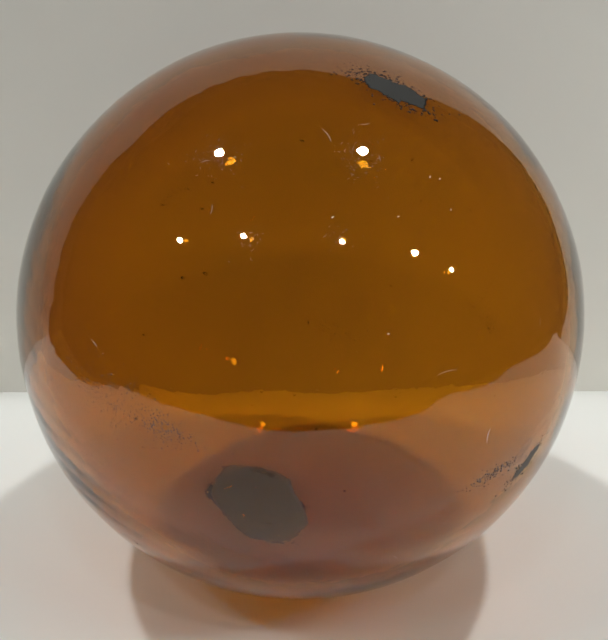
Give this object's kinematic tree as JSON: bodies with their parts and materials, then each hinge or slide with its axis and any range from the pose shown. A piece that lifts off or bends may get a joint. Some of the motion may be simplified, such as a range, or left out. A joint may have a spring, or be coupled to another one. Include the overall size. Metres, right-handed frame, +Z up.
{
  "type": "glass float ball",
  "caption": "Hollow blown glass float: a plain ball of clear amber glass, closed by an oval pressed seal, with a small flat spot to lie on.",
  "frame": {"origin": "middle of the flat spot that the ball lies on, straight under the ball's centre", "axes": "+Z up through the ball's centre, -Y to the front as in the picture, +X to the viewer's right; the seal is low at the left and back"},
  "size_m": [0.127, 0.1269, 0.1265],
  "materials": {
    "amber_glass": "clear amber blown glass, glossy, a little wavy, with small bubbles, faint scuffs and specks of old dirt"
  },
  "bodies": {
    "root": {"glass_float_ball": "amber_glass"}
  },
  "joints": []
}
